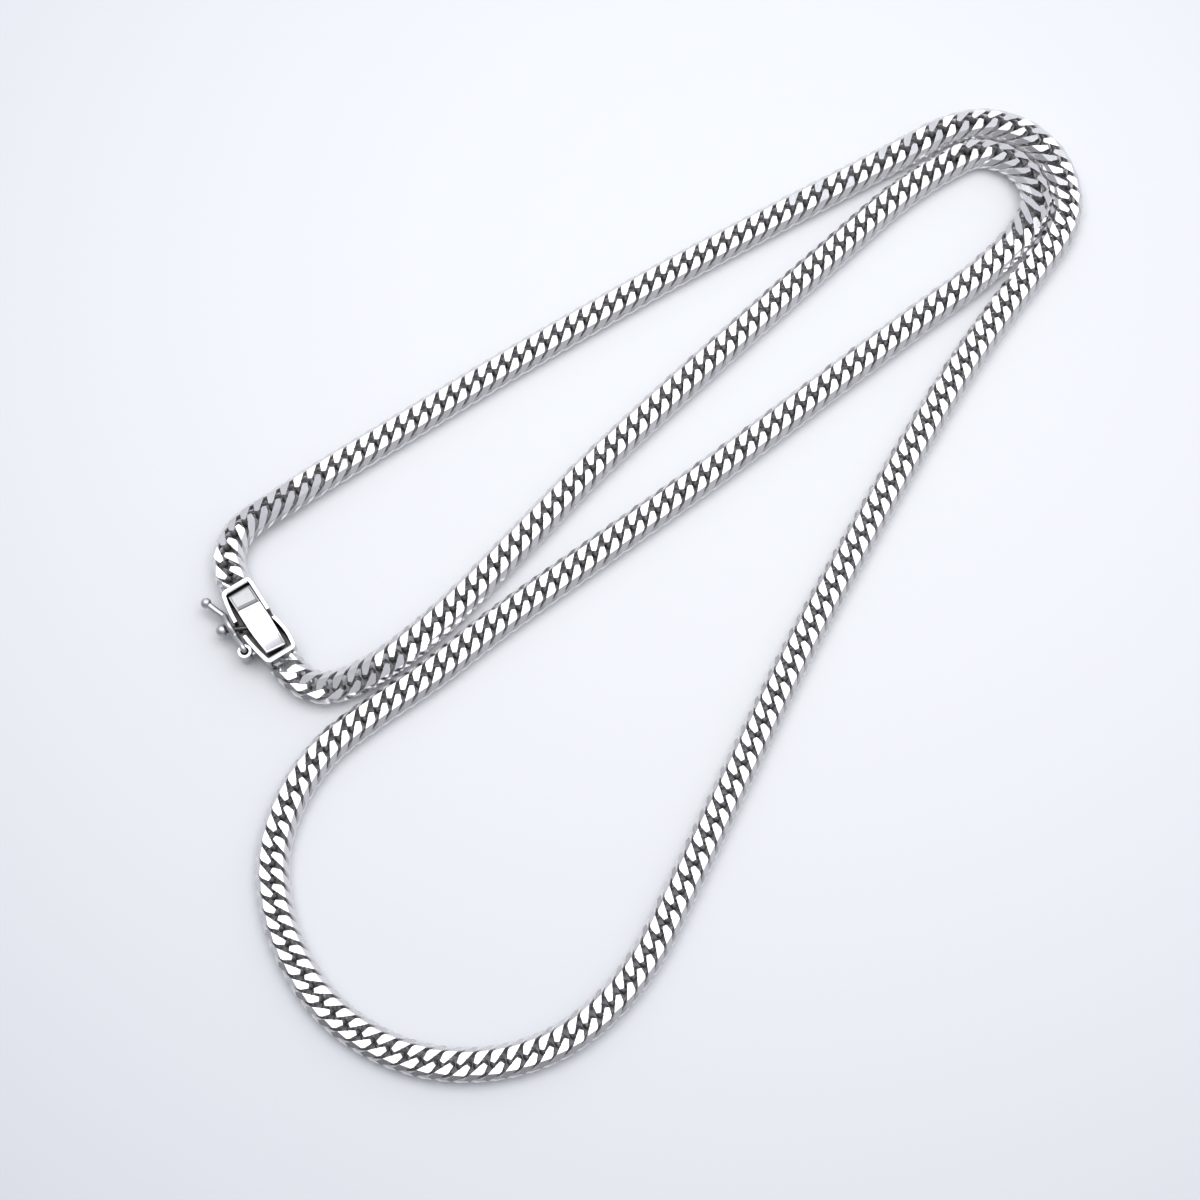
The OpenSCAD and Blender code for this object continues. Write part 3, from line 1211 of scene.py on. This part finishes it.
@dataclass
class SpringTongue(ClaspPiece):
    """The folded spring leaf with its framed plate, its head and the push button.

    The profile is a list of (along, up) pairs of the plate's upper side, from its tail on.
    """

    left: float = 1.4
    right: float = -1.24
    tail_right: float = -1.12
    tail_left: float = 1.18
    taper_from: float = -1.0
    thick: float = 0.3
    low_z: float = 0.7
    low_end: float = -4.7
    between_z: float = 1.5
    plate_z: float = 1.9
    profile: tuple[Pair, ...] = (
        (-3.35, 2.15), (-3.15, 2.22), (-2.9, 2.3), (-2.6, 2.385), (-2.3, 2.45),
        (-1.9, 2.49), (-1.5, 2.51), (-0.6, 2.53), (0.4, 2.52), (1.2, 2.51), (1.7, 2.49),
        (1.92, 2.46), (1.98, 2.43), (2.03, 2.38), (3.9, 2.3),
    )
    step_x: float = 2.02
    tip: float = 0.23
    tip_drop: float = 0.092
    skew: float = 0.12
    leaf_edge_r: float = 0.09
    framed_x: Pair = (-3.48, 4.0)
    framed_half: float = 0.6
    border: float = 0.11
    sink: Pair = (0.09, 0.07)
    # Faces within these limits, inside the box, get painted shade.
    shaded_x: Pair = (-4.6, 4.4)
    shaded_y: float = 1.3
    shaded_z: float = 1.3
    head: Block = ((-4.8, -4.2), (-1.2, 1.2), (0.5, 1.95))
    head_edge_r: float = 0.06
    wedge: Pair = (-4.75, -5.1)
    ball_at: Spot = (1.45, 3.74, 1.55)
    ball_r: float = 0.65
    neck_root: Spot = (0.0, 0.95, 1.75)
    neck_r: float = 0.25
    neck_start: float = 0.52
    neck_flare: float = 1.35
    flare_at: float = 0.44
    # Faces of the neck within these limits get painted shade.
    neck_y: Pair = (1.0, 3.0)
    neck_top: float = 2.0
    finishes = (LEAF_METAL, CLASP_PAINTED_SHADE, SATIN_LEAF)

    def shape(self) -> Piece:
        """Models the tongue.

        Returns:
            The tongue.
        """
        leaf = self._leaf()
        soften_edges(leaf, self.leaf_edge_r)
        self._frame(leaf)
        head = add_box(*self.head)
        combine(head, SolderWedge(*self.wedge).build(), Merge.FUSE)
        soften_edges(head, self.head_edge_r)
        return join_pieces("tongue", [leaf, head, self._button()])

    def _leaf(self) -> Piece:
        """Draws the leaf out from its tail, round the fold and back along the floor.

        Returns:
            The leaf.
        """
        start, top = self.profile[0]
        leaf = add_box((start - self.tip, start), (self.right, self.left), (top - self.thick, top))
        select_points(leaf, lambda p: p.x < start - NEAR)
        bpy.ops.transform.translate(value=(0, 0, -self.tip_drop))
        select_faces(leaf, lambda middle, facing: facing.x > 0.9)
        for (x, z), (next_x, next_z) in zip(self.profile, self.profile[1:]):
            self._draw_out((next_x - x, 0, next_z - z))
        fold, top = self.profile[-1]
        bend = {"angle": -math.pi / 2, "axis": (0, 1, 0)}
        bpy.ops.mesh.spin(center=(fold, 0, top - self.thick), steps=3, **bend)
        self._draw_out((0, 0, self.low_z - top + self.thick))
        bpy.ops.mesh.spin(center=(fold, 0, self.low_z), steps=6, **bend)
        self._draw_out((self.low_end - fold, 0, 0))
        leave_edit()
        self._taper(leaf)
        for side in (1, -1):
            select_points(
                leaf, lambda p, s=side: p.y * s > 0 and p.z > self.between_z and p.x < fold - NEAR
            )
            move_selected((side * self.skew, 0, 0))
        return leaf

    def _taper(self, leaf: Piece) -> None:
        """Narrows the plate towards its tail.

        Args:
            leaf: The leaf.
        """
        start = self.profile[0][0]
        for x in [start - self.tip, *(x for x, _ in self.profile)]:
            share = min(1.0, max(0.0, (self.taper_from - x) / (self.taper_from - start)))
            for side, move in ((-1, self.tail_right - self.right), (1, self.tail_left - self.left)):
                select_points(
                    leaf,
                    lambda p, x=x, s=side: abs(p.x - x) < NEAR
                    and p.y * s > 0
                    and p.z > self.between_z,
                )
                move_selected((0, share * move, 0))

    def _frame(self, leaf: Piece) -> None:
        """Sinks the plate a little inside a narrow border.

        Args:
            leaf: The leaf.
        """
        start, end = self.framed_x
        select_faces(
            leaf,
            lambda p, facing: facing.z > 0.9
            and p.z > self.plate_z
            and start < p.x < end
            and abs(p.y) < self.framed_half,
        )
        bpy.ops.mesh.inset(thickness=self.border, use_even_offset=True)
        across, down = self.sink
        bpy.ops.mesh.inset(thickness=across, depth=-down, use_even_offset=True)
        leave_edit()
        even_shading(leaf, 30)

    def finish_at(self, middle: Vector) -> int:
        """Picks the painted shade for faces in the box's shade and on the button's neck, and satin past
        the plate's step.

        Args:
            middle: The face's middle.

        Returns:
            The finish's number.
        """
        start, end = self.shaded_x
        under = middle.z < self.shaded_z and start < middle.x < end and middle.y < self.shaded_y
        neck = self.neck_y[0] < middle.y < self.neck_y[1] and middle.z < self.neck_top
        past_step = middle.x > self.step_x and middle.z > self.plate_z
        return int(under or neck) or 2 * int(past_step)

    @staticmethod
    def _draw_out(move: Spot) -> None:
        """Extrudes the selected end face by one move."""
        bpy.ops.mesh.extrude_region_move(TRANSFORM_OT_translate={"value": move})

    def _button(self) -> Piece:
        """Models the ball and the neck that carries it.

        Returns:
            The button.
        """
        ball_at, root = Vector(self.ball_at), Vector(self.neck_root)
        ahead = (root - ball_at).normalized()
        ball = add_ball(ball_at, self.ball_r, ahead.to_track_quat("Z", "Y").to_euler())
        neck = add_rod(ball_at + ahead * self.neck_start, root, self.neck_r, 16)
        select_faces(neck, lambda middle, facing: facing.dot(ahead) < -0.9)
        scale_selected((self.neck_flare,) * 3, ball_at + ahead * self.flare_at)
        combine(ball, neck, Merge.FUSE)
        bpy.ops.object.shade_smooth_by_angle(angle=math.radians(40))
        return ball


@dataclass
class SafetyLever(ClaspPiece):
    """The wire lever: a fork at the hinge, an eye over the button's neck and a thumb ball.

    Points of the fork are (along, across, up from the lever's middle).
    """

    middle_z: float = 1.55
    wire_r: float = 0.31
    stem_r: float = 0.37
    ball_r: float = 0.57
    fork: tuple[Spot, ...] = (
        (-2.1, 2.94, 0.35), (-2.1, 2.94, 0.9), (-2.0, 2.93, 1.15), (-1.7, 2.91, 1.18),
        (-1.2, 2.9, 1.02), (-0.7, 2.9, 0.76), (-0.2, 2.9, 0.48), (0.2, 2.9, 0.36),
        (0.65, 2.91, 0.74), (1.2, 2.92, 0.96), (1.8, 2.84, 0.78), (2.3, 2.74, 0.32),
        (2.7, 2.74, 0.08),
    )
    stem: tuple[Pair, ...] = (
        (2.4, 2.72), (2.9, 2.8), (3.5, 3.08), (4.1, 3.3), (4.7, 3.48), (5, 3.62),
    )
    finishes = (LEVER_METAL,)

    def shape(self) -> Piece:
        """Bends the fork's two arms and the stem, and adds the ball.

        Returns:
            The lever.
        """
        arms = [[(x, y, self.middle_z + side * z) for x, y, z in self.fork] for side in (1, -1)]
        wires = [bend_wire(arm, self.wire_r) for arm in arms]
        stem = [(x, y, self.middle_z) for x, y in self.stem]
        wires.append(bend_wire(stem, self.stem_r))
        return join_pieces("lever", [*wires, add_ball(stem[-1], self.ball_r)])


# The surface, the light and the camera


@dataclass
class Studio:
    """Pale surface, soft light from above and the camera. Sizes are in metres."""

    floor_size: float = 3.0
    floor_at: Spot = (0.036, 0.0, -0.00002)
    lamp_at: Spot = (0.036, 0.12, 0.4)
    lamp_size: Pair = (0.52, 0.31)
    lamp_power: float = 1.02
    room_colour: Spot = (0.87, 0.89, 0.94)
    room_light: float = 0.60
    room_lean: Spot = (0.22, 0.35, 0.30)
    lens: float = 72.9
    sensor: float = 36.0
    clip: Pair = (0.005, 20.0)
    camera_at: Spot = (0.035805, -0.080934, 0.244120)
    camera_tilt: float = 19.0

    def build(self) -> None:
        """Sets up the floor, the light and the camera."""
        start_clean()
        bpy.ops.mesh.primitive_plane_add(size=self.floor_size, location=self.floor_at)
        floor = bpy.context.object
        floor.name = "pale_floor"
        floor.data.materials.append(CARD.make())
        self._lamp()
        self._room()
        self._camera()

    def _lamp(self) -> None:
        """Hangs one soft lamp over the necklace."""
        data = bpy.data.lights.new("soft_top", "AREA")
        data.shape = "RECTANGLE"
        data.size, data.size_y = self.lamp_size
        data.energy = self.lamp_power
        put_in_scene("soft_top", data).location = self.lamp_at

    def _room(self) -> None:
        """Gives the room a pale light, a little stronger overhead, behind and to the right."""
        room = bpy.data.worlds.new("room")
        sheet = ShaderSheet(room)
        look = sheet.node("ShaderNodeTexCoord", output="Generated")
        lean = sheet.node(
            "ShaderNodeVectorMath",
            {"operation": "DOT_PRODUCT"},
            {0: look, 1: self.room_lean},
            output="Value",
        )
        light = {"Color": (*self.room_colour, 1.0), "Strength": lean + self.room_light}
        sky = sheet.node("ShaderNodeBackground", None, light)
        sheet.node("ShaderNodeOutputWorld", None, {"Surface": sky})
        bpy.context.scene.world = room

    def _camera(self) -> None:
        """Sets the camera where the picture was taken from."""
        data = bpy.data.cameras.new("camera")
        data.lens = self.lens
        data.sensor_width = self.sensor
        data.clip_start, data.clip_end = self.clip
        camera = put_in_scene("camera", data)
        camera.location = self.camera_at
        camera.rotation_euler = (math.radians(self.camera_tilt), 0.0, 0.0)
        bpy.context.scene.camera = camera
        bpy.context.scene.view_settings.view_transform = "Standard"


def main() -> None:
    """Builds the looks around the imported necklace."""
    logging.basicConfig(level=logging.INFO, format="%(name)s: %(message)s")
    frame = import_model()
    LOG.info("frame of %s", ", ".join(sorted(frame["nodes"])))
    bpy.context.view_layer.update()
    Studio().build()
    for piece in ChainRun(CurbLink(), UPPER_ROUTE, LOWER_ROUTE).build():
        LOG.info("%s: %d faces", piece.name, len(piece.data.polygons))
    for maker, name, node, body in (
        (BoxShell(), "clasp_shell", "clasp_box", Body.NECKLACE),
        (SpringTongue(), "spring_tongue", "clasp_tongue", Body.NECKLACE),
        (SafetyLever(), "wire_lever", "safety_lever", Body.LEVER),
    ):
        piece = maker.build()
        piece.name = name
        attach(piece, body.value)
        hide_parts(node)
        LOG.info("%s: %d faces", name, len(piece.data.polygons))


if __name__ == "__main__":
    main()
